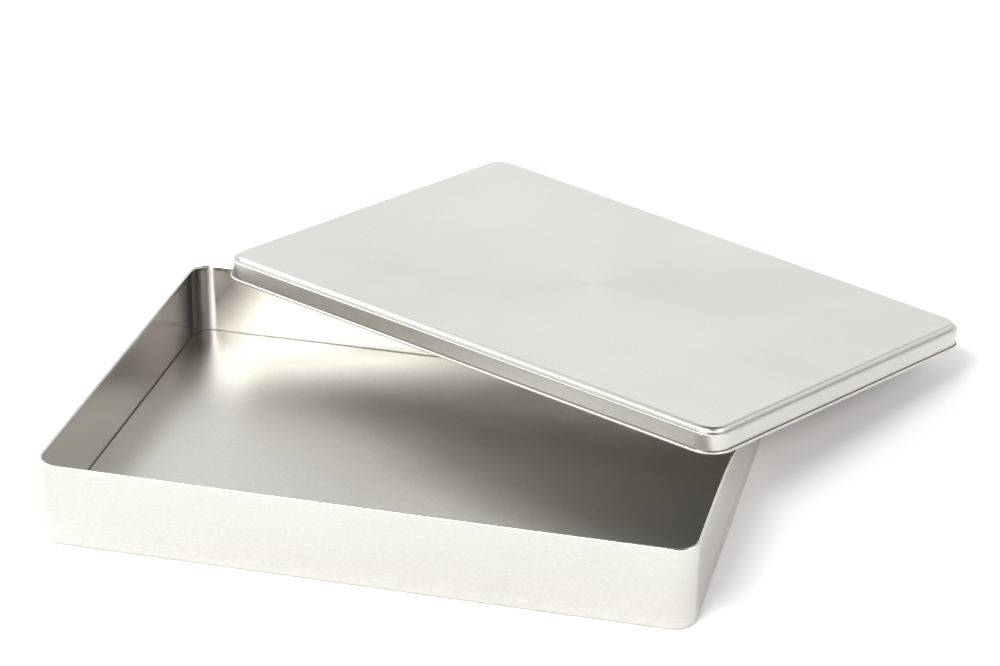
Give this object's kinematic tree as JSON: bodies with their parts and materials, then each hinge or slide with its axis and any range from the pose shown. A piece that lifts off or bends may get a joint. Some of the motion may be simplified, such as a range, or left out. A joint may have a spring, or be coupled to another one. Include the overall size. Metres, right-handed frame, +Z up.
{
  "type": "rectangular tin box",
  "caption": "Empty rectangular tinplate box: a shallow open tray with a rolled rim, and its separate stepped slip lid leaning across one corner.",
  "frame": {"origin": "on the table, under the middle of the box that bounds the tray and the leaning lid together", "axes": "+Z up; +X along the long side of the tray, towards the end that the lid overhangs; +Y across the tray, from its free front wall towards the wall that the lid rests on"},
  "size_m": [0.3838, 0.4014, 0.0553],
  "materials": {
    "tray_tinplate": "satin",
    "lid_tinplate": "satin"
  },
  "bodies": {
    "root": {"tray": "tray_tinplate", "lid": "lid_tinplate"}
  },
  "joints": []
}
